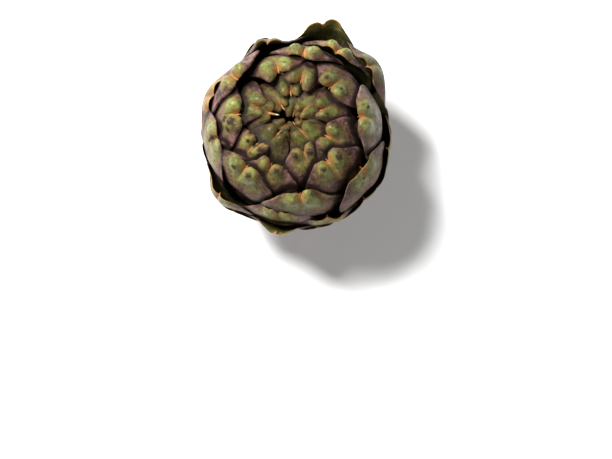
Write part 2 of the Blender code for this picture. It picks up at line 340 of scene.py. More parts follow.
def root(n):
    """(radius, depth below the middle of the head) of the place where bract n grows, evenly spaced down the
    side of the receptacle from its rim to its foot."""
    share = (n - FIRST_BRACT) / (LAST_BRACT - FIRST_BRACT)
    radius = RIM_ROOT[0] + (FOOT_ROOT[0] - RIM_ROOT[0]) * share
    height = RIM_ROOT[1] + (FOOT_ROOT[1] - RIM_ROOT[1]) * share
    return radius, HEAD_CENTRE_Z - height


def tip_angle(n):
    """Angle of bract n's tip from straight up, seen from the middle of the head, in radians. Over the crown the
    tips step outwards from the axis by an even radius, and past it they step down by an even angle."""
    on_crown = min(n, LAST_CROWN)
    radius = math.hypot(FIRST_TIP_RADIUS + TIP_RADIUS_STEP * on_crown, LEAST_TIP_RADIUS)
    left = 1.0 - (radius / equator(on_crown)) ** SQUARENESS
    height = rise(on_crown) * left ** (1.0 / SQUARENESS)
    on_shoulder = min(max(n - LAST_CROWN, 0), LAST_SHOULDER - LAST_CROWN)
    on_side = max(n - LAST_SHOULDER, 0)
    down = SHOULDER_STEP * on_shoulder + SIDE_STEP * on_side + LOWERED.get(n, 0.0)
    return math.atan2(radius, height) + math.radians(down)


def opening(n, direction):
    """How far surface n stands out beyond its regular shape, where the older bracts part from the head: a
    little all round and a bell over the bearing at each place, for older bracts and above the head's side."""
    round_stem, from_up = head_angles(direction)
    out = np.full(round_stem.shape, SPREAD_ALL_ROUND)
    for middle, spread, most in SPREADING:
        out += most * bell(short_way(round_stem - middle), spread)
    age = smooth((n - SPREAD_YOUNGEST) / (SPREAD_OLDEST - SPREAD_YOUNGEST))
    return out * smooth((SPREAD_FROM - from_up) / (SPREAD_FROM - SPREAD_FULL)) * age


def surface(n, direction):
    """Distance from the middle of the head to surface n along unit vectors: a superellipse over the top, and
    below another through the root of bract n."""
    root_radius, root_depth = root(n)
    drop = root_depth / (1.0 - (root_radius / equator(n)) ** BELLY) ** (1.0 / BELLY)
    out = np.hypot(direction[..., 0], direction[..., 1]) / equator(n)
    up = np.maximum(direction[..., 2], 0.0) / rise(n)
    down = np.maximum(-direction[..., 2], 0.0) / drop
    above = (out**SQUARENESS + up**SQUARENESS) ** (-1.0 / SQUARENESS)
    below = (out**BELLY + down**BELLY) ** (-1.0 / BELLY)
    return np.where(direction[..., 2] >= 0.0, above, below) + opening(n, direction)


def half_width(n, from_tip, share):
    """Half the width of bract n at a distance from its tip, with the share of its length from the root: a
    quarter ellipse at the tip, times a smooth step up from the narrow root."""
    widest = NARROWEST + WIDTH_STEP * min(n, LAST_WIDENING) - BASE_WIDTH_STEP * max(n - LAST_OUTER, 0)
    blunt = BLUNT_END if n <= LAST_SHOULDER else LONG_END
    end = np.clip((from_tip + 1.0) / blunt, 0.0, 1.0)
    narrow = ROOT_HALF_WIDTH / widest
    taper = narrow + (1.0 - narrow) * smooth(share / WIDE_FROM_SHARE)
    return widest * np.sqrt(1.0 - (1.0 - end) ** 2) * np.minimum(taper, 1.0)


def direction_at(n, angle, sideways):
    """Unit vectors from the middle of the head to points of bract n, at an angle from straight up on its
    middle line and a distance to the side of that, measured along a circle round the head's axis."""
    turn = bearing(n)
    outward = np.array([math.cos(turn), math.sin(turn), 0.0])
    leftward = np.array([-math.sin(turn), math.cos(turn), 0.0])
    middle = np.sin(angle)[..., None] * outward + np.cos(angle)[..., None] * np.array([0.0, 0.0, 1.0])
    middle = middle * surface(n, middle)[..., None]
    from_axis = middle @ outward
    curl = np.maximum(from_axis, 0.5 * (from_axis + LEAST_CURL * equator(n)))
    swing = sideways / curl
    inward = curl * (1.0 - np.cos(swing))
    point = middle + (curl * np.sin(swing))[..., None] * leftward - inward[..., None] * outward
    return point / np.linalg.norm(point, axis=-1, keepdims=True)


def middle_line(n, steps=400):
    """(angles from straight up, distances from the root) along bract n's middle line, run on past its tip."""
    radius, depth = root(n)
    angles = np.linspace(math.atan2(radius, -depth), tip_angle(n) - math.radians(8.0), steps)
    turn = bearing(n)
    flat = np.sin(angles)
    line = np.stack([flat * math.cos(turn), flat * math.sin(turn), np.cos(angles)], axis=-1)
    points = line * surface(n, line)[:, None]
    gaps = np.linalg.norm(np.diff(points, axis=0), axis=1)
    return angles, np.concatenate([[0.0], np.cumsum(gaps)])


def grid_normals(points):
    """Unit normals of a grid of points, from its differences along rows and along columns."""
    along_rows = np.gradient(points, axis=1)
    along_columns = np.gradient(points, axis=0)
    normal = np.cross(along_rows, along_columns)
    return normal / np.maximum(np.linalg.norm(normal, axis=-1, keepdims=True), 1e-9)


def rounded_edge(distance, radius):
    """A quarter circle from 0 at an edge to 1 at a radius from it."""
    return np.sqrt(1.0 - (1.0 - np.clip(distance / radius, 0.0, 1.0)) ** 2)


def slow_waves(random, x, y, size):
    """A smooth uneven field of mean 0: seven waves of random direction, phase and length about a size."""
    total = np.zeros_like(x)
    for _ in range(7):
        heading = random.uniform(0, math.pi)
        phase = random.uniform(0, 2 * math.pi)
        length = size * random.uniform(0.7, 1.6)
        along = x * math.cos(heading) + y * math.sin(heading)
        total += np.sin(along * 2 * math.pi / length + phase)
    return total / 3.5


# How each kind of bract is finished, in millimetres. lobe is how far its two lobes swell, reach how far they
# may run on past the tip, body how far the back behind them swells, notch the depth of the notch between them,
# curl how far the tip curls in or, below 0, out, edge the round of the tip's edge, spine the length of the
# spine, and olive how far the olive skin runs from the tip. thin is the share of the flesh left at the margins,
# and bloom the share of pale bloom in the skin's colour.
LOOKS = {
    "inner": dict(lobe=3.0, reach=1.6, body=0.9, notch=2.0, curl=0.8, edge=2.4, spine=1.2, olive=20.0,
                  thin=0.9, bloom=0.0),
    "crown": dict(lobe=3.7, reach=2.2, body=1.3, notch=2.6, curl=1.4, edge=3.2, spine=0.9, olive=20.0,
                  thin=0.75, bloom=0.01),
    "outer": dict(lobe=2.3, reach=0.8, body=0.8, notch=2.2, curl=0.3, edge=2.0, spine=1.2, olive=22.0,
                  thin=0.28, bloom=0.06),
    "base": dict(lobe=0.3, reach=0.0, body=0.3, notch=0.8, curl=-0.4, edge=1.2, spine=1.8, olive=10.0,
                 thin=0.35, bloom=0.12),
}

# What single bracts show, by number, in millimetres. To the left is to the left of the middle line, seen from
# outside with the tip up.
SPINES = {-3: 1.5, -2: 1.8, -1: 1.8, 0: 2.6, 1: 2.6, 4: 5.0, 5: 1.0, 6: 2.4, 7: 2.4, 12: 0.4, 25: -0.8}
LOBES_AT = {  # how far each lobe stands from the middle line
    3: 2.6, 4: 3.8, 5: 3.9, 6: 3.2, 8: 3.4, 9: 3.5, 10: 3.9, 14: 5.5, 15: 4.1, 16: 4.7, 20: 5.1, 23: 4.7,
    24: 4.4, 27: 4.5,
}
LOBE_REACH = {  # how far the left lobe and the right lobe run on past the tip
    6: (1.5, 1.5), 9: (2.5, 2.5), 11: (1.5, 4.5), 14: (5.0, 1.5), 17: (1.5, 0.5), 19: (0.5, 3.6),
    21: (0.5, 0.5), 22: (2.0, 1.5), 24: (0.5, 2.2), 25: (4.0, 3.2), 32: (0.0, 0.4),
}
TORN = {2: 0.6, 7: 0.8, 12: 0.7, 15: 0.7, 28: 0.5, 34: 0.8, 36: 0.6}  # how ragged the tip is
GASHES = {25: (4.4, 0.4, 2.0)}  # (depth, to the left, half width) of a split notch
LEANING = {  # how far the tip leans in or, below 0, out
    25: 3.0, 26: 1.5, 27: 2.0, 28: 3.5, 29: 6.0, 30: 3.2, 31: 2.5, 33: 1.8, 34: 1.0, 35: 2.0, 36: -5.0,
    37: 1.6, 38: 1.4, 39: 1.0,
}
SCARS = {  # (to the left, from the tip, radius)
    10: [(-4.6, 3.6, 2.3), (3.0, 3.8, 2.3)],
    12: [(0.0, 2.6, 2.6), (5.0, 2.0, 2.0), (-3.0, 4.0, 1.2), (2.0, 7.5, 1.3), (-6.0, 1.0, 1.5)],
    15: [(4.2, 2.8, 1.7), (-4.0, 5.0, 0.9)],
    16: [(-5.1, 4.4, 0.9), (4.0, 2.0, 1.2)],
    17: [(5.1, 3.2, 3.2), (2.6, 9.0, 2.4), (8.2, 6.6, 2.4)],
    18: [(5.9, 3.0, 2.4), (-5.1, 3.2, 1.7)],
    20: [(4.4, 3.2, 2.1), (-4.5, 4.4, 1.6)],
    21: [(4.6, 4.0, 0.8)],
    25: [(0.4, 4.6, 2.3), (0.2, 6.6, 1.7), (0.1, 8.6, 1.3)],
    26: [(-3.0, 5.0, 1.1), (-5.5, 7.6, 1.3)],
}

# Shares by which the skin of single bracts differs from that of their kind.
# DARKER is partly each bract's own skin and partly painted light and shade: it darkens some bracts on the
# head's shaded side and, below 0, lightens some on its lit side.
DARKER = {
    -3: 0.25, -2: 0.25, -1: 0.25, 0: 0.15, 2: 0.38, 3: 0.05, 5: 0.15, 6: 0.05, 7: 0.42, 8: 0.1, 12: -0.2,
    13: 0.05, 14: -0.05, 15: 0.05, 16: 0.1, 17: -0.1, 19: -0.1, 20: 0.05, 21: 0.1, 22: -0.05, 23: 0.1,
    24: -0.15, 26: 0.2, 27: 0.35, 28: -0.2, 29: 0.3, 30: 0.1, 31: -0.1,
}
GREENER = {12: 0.2, 17: 0.25, 20: 0.15, 21: 0.2, 23: 0.2, 25: 0.2}
BROWNER = {
    2: 0.25, 7: 0.30, 10: 0.25, 12: 0.35, 15: 0.2, 29: 0.25, 30: 0.85, 34: 0.25, 35: 0.35, 36: 0.25, 38: 0.3,
}
PURPLER = {
    12: 0.20, 13: 0.30, 15: 0.15, 20: -0.25, 22: 0.25, 23: -0.3, 24: -0.15, 25: -0.2, 26: -0.2, 27: 0.30,
    30: 0.6,
}
BLOOMING = {19: 0.1, 21: 0.55, 24: 0.15, 25: 0.15, 26: 0.04, 34: 0.1}

# Where the ring swells outwards: (bearing, its spread, angle from straight up, its spread, swell), in degrees
# and millimetres.
BULGES = [
    (158.0, 17.0, 78.0, 15.0, 3.2), (190.0, 14.0, 80.0, 14.0, 1.5), (106.0, 14.0, 72.0, 14.0, 1.5),
    (38.0, 14.0, 74.0, 14.0, 1.5),
]

# The outline of a tip, in millimetres or as shares of how far the lobes stand from the middle line.
TIP_CROWDING = 1.8  # the power by which rows of the mesh crowd towards the tip
COLUMN_CROWDING = 0.6  # how much its columns crowd at the middle line and the margins
LEAST_LOBES_AT = 2.4
LOBES_AT_STEP = 0.2
LAST_LOBES_AT = 14
LOPSIDED = 0.16
LOBE_WIDTH = 0.88
NOTCH_WIDTH = 0.30
CORNER_ROUNDING = 1.3
TEAR_SIZE = 3.2
OUTLINE_FADE = 5.0
GASH_FADE = 1.5  # as a share of a gash's depth, where that is more


def place_on_head(n, across, along, look):
    """Where points of bract n lie. Across runs from -1 to 1 between its margins and along from 0 at the root to
    1 at the tip. The tip's edge is drawn back at the notch, where it is torn and at the corners, and runs on at
    the two lobes, and this fades out away from it. Returns the distance to the left of the middle line, the
    distance from the tip before and after it is drawn back, half the width, the length, the directions from the
    middle of the head, how much each point is a lobe and how far the lobes stand from the middle line."""
    random = np.random.default_rng(500 + n)
    angles, lengths = middle_line(n)
    length = float(np.interp(-tip_angle(n), -angles, lengths))
    from_tip = length * (1.0 - along) ** TIP_CROWDING
    width = half_width(n, from_tip, 1.0 - from_tip / length)
    x = across * width

    lobe_at = LOBES_AT.get(n, LEAST_LOBES_AT + LOBES_AT_STEP * min(max(n, 0), LAST_LOBES_AT))
    uneven_at = lobe_at * (1.0 + LOPSIDED * random.uniform(-1, 1) * np.tanh(x))
    lobes = np.exp(-(np.abs((np.abs(x) - uneven_at) / (LOBE_WIDTH * lobe_at)) ** 2.5))
    corner = np.clip(np.abs(x) / uneven_at - 1.0, 0.0, None)
    notch = look["notch"] * bell(x, NOTCH_WIDTH * lobe_at)
    gash_depth, gash_at, gash_width = GASHES.get(n, (0.0, 0.0, 1.0))
    notch = np.maximum(notch, gash_depth * np.exp(-(np.abs((x - gash_at) / gash_width) ** 1.5)))
    left_reach, right_reach = LOBE_REACH.get(n, look["reach"] * random.uniform(0.0, 1.0, 2))
    reach = right_reach + (left_reach - right_reach) * smooth(0.5 + x / 3.0)
    torn = TORN.get(n, 0.0) * np.abs(slow_waves(random, x, 0.0 * x, TEAR_SIZE))
    fade = np.exp(-from_tip / max(OUTLINE_FADE, GASH_FADE * gash_depth))
    drawn_back = (notch + torn + CORNER_ROUNDING * corner**2 - reach * lobes) * fade

    angle = np.interp(length - from_tip - drawn_back, lengths, angles)
    direction = direction_at(n, angle, x)
    return x, from_tip, from_tip + drawn_back, width, length, direction, lobes, lobe_at


def level_at(n, direction):
    """The surface that each point of bract n lies on, its own at the middle line and winding inwards from one
    margin to the other, and how many surfaces further in the next flesh lies under its margins."""
    wound = smooth((n - WINDING_FROM) / (WINDING_FULL - WINDING_FROM))
    round_stem = np.degrees(np.arctan2(direction[..., 1], direction[..., 0]) - bearing(n))
    return n - WINDING * wound * short_way(round_stem), MARGIN_PLACES + wound


def bulge(n, direction):
    """How far the bracts of the ring and all those older swell outwards in a few places round the head: a bell
    over the bearing times a bell over the angle from straight up."""
    round_stem, from_up = head_angles(direction)
    out = np.zeros(round_stem.shape)
    if n > LAST_CROWN:
        for middle, spread, middle_up, spread_up, most in BULGES:
            aside = short_way(round_stem - middle)
            out += most * np.exp(-((aside / spread) ** 2) - ((from_up - middle_up) / spread_up) ** 2)
    return out


# Painted shade where the edges of older bracts lie over the skin: how many places older those are on the
# spiral, what part of a bract's length its edge is followed over, and the share and the spread of each of two
# soft painted shadows.
OLDER_BY = (2, 3, 5, 7, 8, 11, 13)
EDGE_FROM = 0.35
EDGE_STEPS = 90
TIP_STEPS = 61
SHADOWS = ((0.42, 4.6), (0.58, 1.7))


def edge_line(n):
    """Points about 1 mm apart along both margins and the tip of bract n, on the surface that it lies on."""
    side = np.linspace(EDGE_FROM, 1.0, EDGE_STEPS)
    across = np.concatenate([-np.ones(EDGE_STEPS), np.linspace(-1.0, 1.0, TIP_STEPS), np.ones(EDGE_STEPS)])
    along = np.concatenate([side, np.ones(TIP_STEPS), side])
    direction = place_on_head(n, across, along, LOOKS[bract_kind(n)])[5]
    return direction * surface(level_at(n, direction)[0], direction)[..., None]


def painted_shade_under_older_edges(n, points):
    """How much painted shade the skin at each point gets: 1 at the edge of an older bract that lies over it,
    fading out over a few millimetres in two bells, as both are seen from the middle of the head."""
    older = [n + step for step in OLDER_BY if n + step <= LAST_BRACT]
    if not older:
        return np.zeros(points.shape[:-1])
    edges = np.vstack([edge_line(m) for m in older])
    edges *= SEEN_AT / np.linalg.norm(edges, axis=1, keepdims=True)
    flat = points.reshape(-1, 3)
    flat = flat * SEEN_AT / np.linalg.norm(flat, axis=1, keepdims=True)
    square = np.sum(flat**2, axis=1)[:, None] + np.sum(edges**2, axis=1)[None, :] - 2.0 * flat @ edges.T
    nearest = np.sqrt(np.maximum(square.min(axis=1), 0.0)).reshape(points.shape[:-1])
    return sum(share * bell(nearest, spread) for share, spread in SHADOWS)


def bract_kind(n):
    """Which part of the head bract n belongs to."""
    for kind, last in (("inner", LAST_INNER), ("crown", LAST_CROWN), ("outer", LAST_OUTER)):
        if n <= last:
            return kind
    return "base"


# The relief of a bract and the fading of its flesh, in millimetres.
FULL_LOBES_AT = 4.6  # lobes that stand nearer to the middle line swell less
LOBE_LENGTH = 0.7  # as a share of how far the lobes stand from the middle line
BACK_RISE = 7.0
BACK_END = 34.0
BACK_FALL = 14.0
OLD_FLATNESS = 0.75  # the share of their swell that the oldest bracts lack
GROOVE_DEPTH = 1.1
GROOVE_SPREAD = 1.1
GROOVE_LENGTH = 6.0
GROOVE_RISE = 3.0
CURL_LENGTH = 6.0
WAVE_HEIGHT = 0.30
WAVE_SIZE = 15.0
WAVE_FADE = 6.0
LEAN_LENGTH = 9.0
LEAN_OUT_SPREAD = 8.0
SWELL_FLESH = 0.75  # share of a swell that is flesh
TIP_FLESH = 0.4
TIP_FLESH_LENGTH = 6.0
THINNING = 9.0  # distance from an edge over which the flesh reaches its full thickness
MARGIN_ROUND = 1.3
ROOT_ROUND = 1.0
OUTER_ROUND = 0.62  # share of an edge's round that is on its outer side
YOUNG_EDGE_SHADE = 0.45  # share of the painted edge shade of full-grown bracts that the youngest have


def lobe_swell(n, s, aside, lobes, lobe_at, look):
    """How far the outer side of bract n swells: two lobes beside the notch, which fade out in a bell behind
    them, and a crowned back between two smooth steps, both flatter on the oldest bracts."""
    behind_lobes = np.clip(s - LOBE_LENGTH * lobe_at, 0.0, None)
    swell = look["lobe"] * (lobe_at / FULL_LOBES_AT) * lobes * bell(behind_lobes, lobe_at)
    crowned = (1.0 - aside**2) ** 2
    swell += look["body"] * crowned * smooth((s - lobe_at) / BACK_RISE) * smooth((BACK_END - s) / BACK_FALL)
    return swell * (1.0 - OLD_FLATNESS * smooth((n - LAST_SHOULDER) / 3.0))


def raised(n, swell, x, s, from_tip, width, look, random):
    """How far the outer side of bract n is raised by its swell and by slow waves, after it is sunk by a groove
    behind the notch and by the square of its nearness to the curled tip, and leans in or out in a bell."""
    groove = -GROOVE_DEPTH * bell(x, GROOVE_SPREAD) * bell(s, GROOVE_LENGTH)
    groove *= rounded_edge(from_tip, GROOVE_RISE)
    curl = -look["curl"] * np.clip(1.0 - from_tip / CURL_LENGTH, 0.0, 1.0) ** 2
    waves = WAVE_HEIGHT * slow_waves(random, x, s, WAVE_SIZE) * rounded_edge(width - np.abs(x), WAVE_FADE)
    lean = -LEANING.get(n, 0.0) * bell(s, LEAN_LENGTH)
    if LEANING.get(n, 0.0) < 0.0:
        lean *= bell(x, LEAN_OUT_SPREAD)
    return swell + groove + curl + waves + lean


def two_sided_faces(shape, turned):
    """Quads over both sides of a bract's grid of points. The inner side has its own points, numbered after the
    outer side's, except at the grid's edge, where both sides share them, so the skin is closed."""
    rows, columns = shape
    outside = np.arange(rows * columns).reshape(shape)
    inside = outside.copy()
    count = (rows - 2) * (columns - 2)
    inside[1:-1, 1:-1] = rows * columns + np.arange(count).reshape(rows - 2, columns - 2)
    quads = [np.stack([at[:-1, :-1], at[:-1, 1:], at[1:, 1:], at[1:, :-1]], axis=-1).reshape(-1, 4)
             for at in (outside, inside)]
    quads[0 if turned else 1] = quads[0 if turned else 1][:, ::-1]
    return np.vstack(quads).tolist()


# The paint of a bract: lengths and spreads in millimetres, distances from its tip, and shares.
CLOUD_SIZE = 9.0  # the patches that make every edge of a colour uneven
OLIVE_WANDER = 8.0
OLIVE_FADE = 14.0
PURPLE_FROM, PURPLE_OVER = 0.38, 0.42  # share of half the width where margins begin to turn, and over which
BRIGHT_AT, BRIGHT_SPREAD = 4.0, 6.5  # the brightest green of the lobes
STREAK_SHARE, STREAK_WIDTH, STREAK_LENGTH = 0.65, 0.8, 8.5  # the rust streak along the middle line
PATCH_SHARE, PATCH_WIDTH, PATCH_LENGTH = 0.75, 2.9, 3.6  # the rust patch in the notch
BROWN_LENGTH = 10.0
BLOOM_AT, BLOOM_SPREAD = 17.0, 11.0
RAGGED_SIZE = 18.0  # the patches that break up the dry rim
FIRST_DRY, DRY_STEPS = 26, 7.5  # the youngest bract with a dry rim, and in how many more it is full
YOUNG_LIGHT, LIGHT_GAIN, LIGHT_STEPS = 0.38, 0.34, 20.0  # painted light and shade, partly the bracts' own colour: younger bracts in the sunken middle darker, older ones lighter, over so many
LIGHT_CHANCE = 0.06
PURPLE_CHANCE = 0.12
VEIN_MEETING = 7.0  # how far past the tip the veins would meet
VEIN_SPREAD = 13.0  # distance from there at which they are as wide as their pattern


def paint_bract(n, x, s, from_edge, aside, lobes, edge_shade, look, random):
    """What the material reads at each point of bract n, on its outer side and then on its inner side. Masks are
    green, rust, bloom and scar. shade_and_tone holds the painted shade along older bracts' edges, the painted
    light and shade, the dry rim and purple. The lay is the place on the skin, drawn together towards the tip so
    that veins fan out from it. Each is a product of bells and smooth steps over the distances from the middle
    line, the tip and the edge, made uneven by slow waves."""
    shape = x.shape
    uneven = 0.5 + 0.5 * slow_waves(random, x, s, CLOUD_SIZE)
    olive = smooth((look["olive"] + OLIVE_WANDER * (uneven - 0.5) - s) / OLIVE_FADE)
    olive *= 1.0 - smooth((aside - PURPLE_FROM) / PURPLE_OVER)
    bright = lobes * bell(s - BRIGHT_AT, BRIGHT_SPREAD) * (0.75 + 0.5 * uneven)
    green = 0.5 * olive + 0.5 * np.clip(bright + GREENER.get(n, 0.0) * olive, 0.0, 1.0)
    streak = bell(x, STREAK_WIDTH + 0.5 * uneven) * bell(s, STREAK_LENGTH)
    patch = bell(x, PATCH_WIDTH) * bell(s, PATCH_LENGTH)
    rust = np.clip(STREAK_SHARE * streak + PATCH_SHARE * patch, 0.0, 1.0)
    rust = np.maximum(rust, BROWNER.get(n, 0.0) * bell(s, BROWN_LENGTH) * (0.3 + 0.7 * uneven))
    shoulder = bell(s - BLOOM_AT, BLOOM_SPREAD) * (0.3 + 0.7 * uneven)
    bloom = (look["bloom"] + BLOOMING.get(n, 0.0)) * shoulder
    scar = np.zeros(shape)
    for at_x, at_s, radius in SCARS.get(n, []):
        reach = radius * (0.8 + 0.4 * uneven)
        scar = np.maximum(scar, np.exp(-(((x - at_x) ** 2 + (s - at_s) ** 2) / reach**2)))
    ragged = np.clip(0.45 + 1.3 * slow_waves(random, x, s, RAGGED_SIZE) + bell(s, 4.0), 0.0, 1.0)
    dry = smooth((n - FIRST_DRY) / DRY_STEPS) * ragged * bell(from_edge, 0.6 + 1.0 * uneven)
    # Painted light and shade: how far the skin is darkened towards near black, by age, by chance and by DARKER.
    light = YOUNG_LIGHT + LIGHT_GAIN * smooth((n - 2) / LIGHT_STEPS)
    light = light + LIGHT_CHANCE * random.uniform(-1, 1) - DARKER.get(n, 0.0)
    purple = PURPLER.get(n, 0.0) + PURPLE_CHANCE * random.uniform(-1, 1) + 0.5
    masks = np.stack([green, rust, bloom, scar], axis=-1)
    shade_and_tone = np.stack([edge_shade, np.full(shape, light), dry, np.full(shape, purple)], axis=-1)

    near_tip = bell(s, 6.0)
    dry_tip = np.clip(rust + 0.65 * ragged * bell(s, 3.5), 0.0, 1.0) * near_tip
    masks_inside = np.stack([0.80 + 0.2 * green, dry_tip, np.zeros(shape), np.zeros(shape)], axis=-1)
    # On the inner side, painted shade all over except near the tip, from both the edge shade and a low light.
    shade_and_tone_inside = np.stack(
        [0.45 * (1.0 - near_tip), 0.22 + 0.78 * near_tip, dry, np.full(shape, 0.3)], axis=-1)
    lay = np.stack([x * VEIN_SPREAD / (np.maximum(s, -2.0) + VEIN_MEETING), s], axis=-1) * 0.1
    return [np.vstack([outside.reshape(-1, outside.shape[-1]),
                       inside[1:-1, 1:-1].reshape(-1, inside.shape[-1])])
            for outside, inside in ((masks, masks_inside), (shade_and_tone, shade_and_tone_inside), (lay, lay))]


def lay_bract(n, columns, rows, look):
    """Points, faces, masks, tone and lay of bract n, and its spine. A grid of across, from -1 to 1 between the
    margins, and along, from 0 at the root to 1 at the tip, is laid on the bract's surface. Its outer side is
    raised along the normals by its relief, and its inner side lies the thickness of the flesh below, thinner
    towards the margins. At every edge both sides come together in a quarter round, so the mesh is one closed
    skin."""
    random = np.random.default_rng(100 + n)
    even = np.linspace(-1.0, 1.0, columns + 1)
    crowded = even - COLUMN_CROWDING * np.sin(2 * math.pi * even) / (2 * math.pi)
    across, along = np.meshgrid(crowded, np.linspace(0, 1, rows + 1))
    x, from_tip, s, width, length, direction, lobes, lobe_at = place_on_head(n, across, along, look)
    aside = np.abs(across)
    from_margin = width * (1.0 - aside)
    from_edge = np.minimum(from_margin, s)

    level, margin_places = level_at(n, direction)
    to_margin = smooth((aside - MIDDLE_SHARE) / MARGIN_FROM_SHARE)
    places = MIDDLE_PLACES + (margin_places - MIDDLE_PLACES) * to_margin
    room = surface(level, direction) - surface(level - places, direction)
    flesh = np.clip(FILLED * room - CLEARANCE, THINNEST, THICKEST)

    swell = lobe_swell(n, s, aside, lobes, lobe_at, look)
    relief = raised(n, swell, x, s, from_tip, width, look, random) + bulge(n, direction)

    thick = flesh + SWELL_FLESH * swell + TIP_FLESH * bell(from_tip, TIP_FLESH_LENGTH)
    thick *= look["thin"] + (1.0 - look["thin"]) * smooth(from_edge / THINNING)
    thick = np.maximum(thick, THINNEST)
    edge = rounded_edge(from_margin, MARGIN_ROUND) * rounded_edge(from_tip, look["edge"])
    edge *= rounded_edge(length - from_tip, ROOT_ROUND)
    lost = thick * (1.0 - edge)
    base = direction * surface(level, direction)[..., None]
    normal = grid_normals(base)
    normal *= np.sign(np.sum(normal * direction, axis=-1, keepdims=True))
    outer = base + normal * (relief - OUTER_ROUND * lost)[..., None]
    inner = base + normal * (relief - thick + (1.0 - OUTER_ROUND) * lost)[..., None]
    points = np.vstack([outer.reshape(-1, 3), inner[1:-1, 1:-1].reshape(-1, 3)])
    facing = np.sum(np.cross(outer[0, 1] - outer[0, 0], outer[1, 0] - outer[0, 0]) * direction[0, 0])
    faces = two_sided_faces(across.shape, facing < 0)

    # Painted shade along the edges of the older bracts that lie over this one, weaker on the youngest.
    edge_shade = painted_shade_under_older_edges(n, base)
    edge_shade *= YOUNG_EDGE_SHADE + (1.0 - YOUNG_EDGE_SHADE) * smooth((n - 2) / 8.0)
    masks, shade_and_tone, lay = paint_bract(n, x, s, from_edge, aside, lobes, edge_shade, look, random)
    spine_length = SPINES.get(n, look["spine"])
    spine = middle_spine(base + normal * relief[..., None], normal, from_tip, spine_length, random)
    return points, faces, masks, shade_and_tone, lay, spine


SPINE_RINGS = 9
SPINE_SIDES = 10
SPINE_ROOT = 2.0  # how much of a spine's length is inside the flesh
SPINE_FROM = 1.2  # distance from the tip of the bract at which it starts
SPINE_DEPTH = 0.8  # and how deep under the skin
HEADING_FROM = 6.0  # distance from the tip whose skin gives its direction
LEAST_SPINE_RADIUS = 0.42
SPINE_RADIUS_STEP = 0.10
SPINE_POINT = 0.04
SPINE_TAPER = 0.7  # the power by which its radius shrinks
SPINE_BEND = (0.1, 0.5)
SPINE_SWAY = 0.25


def middle_spine(outer, normal, from_tip, length, random):
    """The spine in the notch: circles that shrink along a slightly bent line, from inside the flesh out past
    the tip, closed at both ends. Returns its points, faces, masks, tone and lay."""
    column = outer.shape[1] // 2
    row, row_behind = (int(np.argmin(np.abs(from_tip[:, column] - at))) for at in (SPINE_FROM, HEADING_FROM))
    start = outer[row, column] - SPINE_DEPTH * normal[row, column]
    ahead = outer[row, column] - outer[row_behind, column]
    ahead /= np.linalg.norm(ahead)
    up = normal[row, column]
    side = np.cross(ahead, up)
    t = np.linspace(0.0, 1.0, SPINE_RINGS)[1:-1]
    reach = (length + SPINE_ROOT) * t
    bend = random.uniform(*SPINE_BEND) * t**2 * length
    sway = random.uniform(-SPINE_SWAY, SPINE_SWAY) * t**2 * length
    line = start + reach[:, None] * ahead + bend[:, None] * up + sway[:, None] * side
    radius = (LEAST_SPINE_RADIUS + SPINE_RADIUS_STEP * length) * (1.0 - t) ** SPINE_TAPER + SPINE_POINT
    turn = np.linspace(0, 2 * math.pi, SPINE_SIDES, endpoint=False)
    circle = np.cos(turn)[:, None] * side + np.sin(turn)[:, None] * up
    tube = (line[:, None, :] + radius[:, None, None] * circle[None]).reshape(-1, 3)
    last = start + (length + SPINE_ROOT) * ahead + (bend[-1] + 0.05) * up + sway[-1] * side
    points = np.vstack([tube, [start, last]])
    here, beside = np.arange(SPINE_SIDES), (np.arange(SPINE_SIDES) + 1) % SPINE_SIDES
    end = len(tube) - SPINE_SIDES
    faces = closed_rows(0, len(t), SPINE_SIDES)[:, ::-1].tolist()
    faces += np.stack([np.full(SPINE_SIDES, len(tube)), beside, here], axis=-1).tolist()
    faces += np.stack([np.full(SPINE_SIDES, len(tube) + 1), end + here, end + beside], axis=-1).tolist()
    pale = np.concatenate([np.repeat(smooth((t - 0.25) / 0.5), SPINE_SIDES), [0.0, 1.0]])
    masks = np.zeros((len(points), 4))
    masks[:, 1] = 1.0
    masks[:, 2] = 0.9 * pale * np.clip((length - 1.0) / 2.0, 0.0, 1.0)
    # The spine is painted a little into shade by its light channel of 0.6.
    shade_and_tone = np.tile([0.0, 0.6, 0.0, 0.5], (len(points), 1))
    lay = np.stack([np.zeros(len(points)), np.full(len(points), 0.1)], axis=-1)
    return points, faces, masks, shade_and_tone, lay


# Colours that the skins of all bracts share.
RUST = (0.40, 0.19, 0.065)
RUST_HALO = (0.275, 0.148, 0.043)
BLOOM = (0.42, 0.42, 0.33)
LEAF_GREEN = (0.080, 0.125, 0.028)
RUDDY = (0.16, 0.075, 0.036)
DARK_GRAIN = (0.030, 0.018, 0.009)
PALE_GRAIN = (0.40, 0.35, 0.14)
FLECK = (0.06, 0.032, 0.014)
SPINE_TIP = (0.75, 0.62, 0.42)
# Painted shade: near-black colours for the crevices along older bracts' edges and for shaded bracts.
CREVICE_SHADE = (0.012, 0.006, 0.006)
DEEP_SHADE = (0.010, 0.008, 0.004)
DRY_DARK = (0.20, 0.105, 0.035)
DRY_PALE = (0.40, 0.26, 0.08)
SCAR_RIM = (0.085, 0.050, 0.022)
SCAR_HEART = (0.018, 0.012, 0.012)


